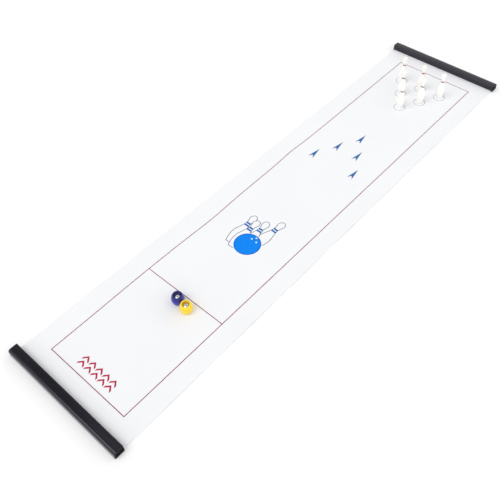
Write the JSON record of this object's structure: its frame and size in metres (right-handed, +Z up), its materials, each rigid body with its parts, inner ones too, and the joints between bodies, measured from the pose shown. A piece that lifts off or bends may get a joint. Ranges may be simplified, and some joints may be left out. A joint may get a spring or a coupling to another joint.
{
  "type": "tabletop bowling game",
  "caption": "Tabletop bowling game: a roll-up white lane mat between hollow black end rails, a triangle of small pins that topple, and rollers that glide on captive steel balls.",
  "frame": {"origin": "on the table, under the middle of the lane mat", "axes": "+Y down the lane towards the pins, +X across the lane to the player's right, +Z up"},
  "size_m": [0.2792, 1.202, 0.0682],
  "materials": {
    "mat": "smooth white coated cloth",
    "rail": "satin black extrusion",
    "rail_cap": "satin black moulding",
    "mat_rod": "natural grey plastic",
    "pin": "glossy ivory moulding",
    "blue_shell": "glossy moulding",
    "yellow_shell": "glossy moulding",
    "roller_ring": "black moulding",
    "steel_ball": "polished bearing steel"
  },
  "bodies": {
    "lane": {"lane_mat": "mat", "near_rail": "rail", "far_rail": "rail", "near_rail_left_cap": "rail_cap", "near_rail_right_cap": "rail_cap", "far_rail_left_cap": "rail_cap", "far_rail_right_cap": "rail_cap", "near_mat_rod": "mat_rod", "far_mat_rod": "mat_rod"},
    "head_pin": {"pin_1": "pin"},
    "middle_left_pin": {"pin_2": "pin"},
    "middle_right_pin": {"pin_3": "pin"},
    "back_left_pin": {"pin_4": "pin"},
    "back_middle_pin": {"pin_5": "pin"},
    "back_right_pin": {"pin_6": "pin"},
    "blue_roller": {"blue_roller_shell": "blue_shell", "blue_roller_ring": "roller_ring"},
    "blue_ball": {"blue_roller_ball": "steel_ball"},
    "yellow_roller": {"yellow_roller_shell": "yellow_shell", "yellow_roller_ring": "roller_ring"},
    "yellow_ball": {"yellow_roller_ball": "steel_ball"}
  },
  "joints": [
    {"name": "head_pin_topple", "type": "hinge", "parent": "lane", "child": "head_pin", "pos_m": [0.0016, 0.39812, 0.0012], "axis": [-1, 0, 0], "range_deg": [0, 73]},
    {"name": "middle_left_pin_topple", "type": "hinge", "parent": "lane", "child": "middle_left_pin", "pos_m": [-0.0244, 0.44316, 0.0012], "axis": [-1, 0, 0], "range_deg": [0, 73]},
    {"name": "middle_right_pin_topple", "type": "hinge", "parent": "lane", "child": "middle_right_pin", "pos_m": [0.0276, 0.44316, 0.0012], "axis": [-1, 0, 0], "range_deg": [0, 73]},
    {"name": "back_left_pin_topple", "type": "hinge", "parent": "lane", "child": "back_left_pin", "pos_m": [-0.0504, 0.48819, 0.0012], "axis": [-1, 0, 0], "range_deg": [0, 73]},
    {"name": "back_middle_pin_topple", "type": "hinge", "parent": "lane", "child": "back_middle_pin", "pos_m": [0.0016, 0.48819, 0.0012], "axis": [-1, 0, 0], "range_deg": [0, 73]},
    {"name": "back_right_pin_topple", "type": "hinge", "parent": "lane", "child": "back_right_pin", "pos_m": [0.0536, 0.48819, 0.0012], "axis": [-1, 0, 0], "range_deg": [0, 73]},
    {"name": "blue_roller_run", "type": "slide", "parent": "lane", "child": "blue_roller", "axis": [0, 1, 0], "range_m": [-0.21, 0.7]},
    {"name": "blue_ball_spin", "type": "hinge", "parent": "blue_roller", "child": "blue_ball", "pos_m": [0.0024, -0.3329, 0.00993], "axis": [-1, 0, 0], "continuous": true},
    {"name": "yellow_roller_run", "type": "slide", "parent": "lane", "child": "yellow_roller", "axis": [0, 1, 0], "range_m": [-0.21, 0.75]},
    {"name": "yellow_ball_spin", "type": "hinge", "parent": "yellow_roller", "child": "yellow_ball", "pos_m": [0.0278, -0.3367, 0.00993], "axis": [-1, 0, 0], "continuous": true}
  ],
  "couplings": [
    {"joint": "blue_ball_spin", "follows": "blue_roller_run", "rad_per_m": 114.55},
    {"joint": "yellow_ball_spin", "follows": "yellow_roller_run", "rad_per_m": 114.55}
  ]
}
